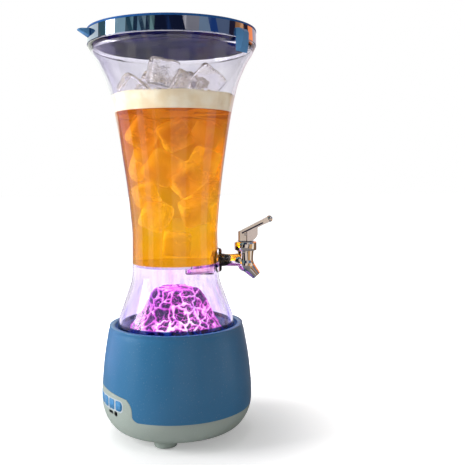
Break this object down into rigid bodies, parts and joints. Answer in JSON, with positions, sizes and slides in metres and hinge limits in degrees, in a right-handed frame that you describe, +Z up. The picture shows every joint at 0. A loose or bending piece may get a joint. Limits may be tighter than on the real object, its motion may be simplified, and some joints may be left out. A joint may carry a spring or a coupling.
{
  "type": "beer tower",
  "caption": "Hourglass drinks tower: clear tank with lid, lever tap, and a lit base with rock lamp, feet and button panel.",
  "frame": {"origin": "on the floor, on the tank's axis, midway between the feet", "axes": "+Z up along the tank's axis, +X out along the tap's shank"},
  "size_m": [0.2144, 0.1928, 0.467],
  "materials": {
    "base_blue": "satin moulded plastic",
    "pan_grey": "satin moulded plastic",
    "frame_white": "gloss moulded plastic",
    "button_blue": "gloss moulded plastic",
    "board_green": "circuit board",
    "black_plastic": "matt moulded plastic",
    "socket_steel": "plated steel",
    "grille_steel": "painted perforated sheet",
    "magnet_iron": "plain",
    "cone_paper": "coated paper",
    "cell_green": "shrink film",
    "rubber_black": "matt rubber",
    "silicone_clear": "translucent silicone",
    "lamp_white": "translucent diffuser",
    "led_pink": "light emitting",
    "rock_glow": "glowing translucent resin",
    "tank_clear": "clear moulded plastic",
    "tap_chrome": "polished chrome plate",
    "lid_blue": "gloss moulded plastic",
    "band_mirror": "dark blue mirror plating"
  },
  "bodies": {
    "base": {"base_housing": "base_blue", "base_pan": "pan_grey", "panel_frame": "frame_white", "button_board": "board_green", "tact_switches": "black_plastic", "usb_socket": "socket_steel", "audio_jack": "black_plastic", "main_board": "board_green", "battery_tray": "black_plastic", "battery_cells": "cell_green", "speaker_basket": "black_plastic", "speaker_magnet": "magnet_iron", "speaker_cone": "cone_paper", "speaker_grille": "grille_steel", "foot_pads": "rubber_black", "base_screws": "socket_steel", "lamp_plate": "lamp_white", "led_board": "board_green", "leds": "led_pink", "rock_lamp": "rock_glow", "seat_gasket": "rubber_black"},
    "tank": {"tank": "tank_clear", "tank_floor": "tank_clear", "tap_washer_outer": "silicone_clear", "tap_washer_inner": "silicone_clear", "tap_nut": "tap_chrome", "tap_body": "tap_chrome", "tap_bonnet": "tap_chrome", "tap_spring": "socket_steel"},
    "stem": {"tap_stem": "tap_chrome", "stem_seal": "rubber_black"},
    "lever": {"tap_lever": "tap_chrome", "lever_pin": "socket_steel"},
    "lid": {"lid_cap": "lid_blue", "lid_band": "band_mirror", "lid_gasket": "silicone_clear"},
    "button_1": {"button_1": "button_blue"},
    "button_2": {"button_2": "button_blue"},
    "button_3": {"button_3": "button_blue"},
    "button_4": {"button_4": "button_blue"},
    "button_5": {"button_5": "button_blue"},
    "button_6": {"button_6": "button_blue"},
    "button_7": {"button_7": "button_blue"}
  },
  "joints": [
    {"name": "tank_lift", "type": "slide", "parent": "base", "child": "tank", "axis": [0, 0, 1], "range_m": [0, 0.09]},
    {"name": "lid_lift", "type": "slide", "parent": "tank", "child": "lid", "axis": [0, 0, 1], "range_m": [0, 0.06]},
    {"name": "stem_lift", "type": "slide", "parent": "tank", "child": "stem", "axis": [0, 0, 1], "range_m": [0, 0.0055], "stiffness_N_per_m": 150, "springref_m": -0.008, "deforming": ["tap_spring"]},
    {"name": "lever_turn", "type": "hinge", "parent": "stem", "child": "lever", "pos_m": [0.0825, 0, 0.2338], "axis": [0, 1, 0], "range_deg": [0, 70]},
    {"name": "button_1_press", "type": "slide", "parent": "base", "child": "button_1", "axis": [0.6821, 0.7312, 0], "range_m": [0, 0.0008], "stiffness_N_per_m": 600, "springref_m": -0.0006},
    {"name": "button_2_press", "type": "slide", "parent": "base", "child": "button_2", "axis": [0.7895, 0.6137, 0], "range_m": [0, 0.0008], "stiffness_N_per_m": 600, "springref_m": -0.0006},
    {"name": "button_3_press", "type": "slide", "parent": "base", "child": "button_3", "axis": [0.8769, 0.4807, 0], "range_m": [0, 0.0008], "stiffness_N_per_m": 600, "springref_m": -0.0006},
    {"name": "button_4_press", "type": "slide", "parent": "base", "child": "button_4", "axis": [0.9421, 0.3355, 0], "range_m": [0, 0.0008], "stiffness_N_per_m": 600, "springref_m": -0.0006},
    {"name": "button_5_press", "type": "slide", "parent": "base", "child": "button_5", "axis": [0.9834, 0.1817, 0], "range_m": [0, 0.0008], "stiffness_N_per_m": 600, "springref_m": -0.0006},
    {"name": "button_6_press", "type": "slide", "parent": "base", "child": "button_6", "axis": [0.9997, 0.0234, 0], "range_m": [0, 0.0008], "stiffness_N_per_m": 600, "springref_m": -0.0006},
    {"name": "button_7_press", "type": "slide", "parent": "base", "child": "button_7", "axis": [0.9908, -0.1355, 0], "range_m": [0, 0.0008], "stiffness_N_per_m": 600, "springref_m": -0.0006}
  ],
  "couplings": [
    {"joint": "lever_turn", "follows": "stem_lift", "rad_per_m": 222.22}
  ]
}
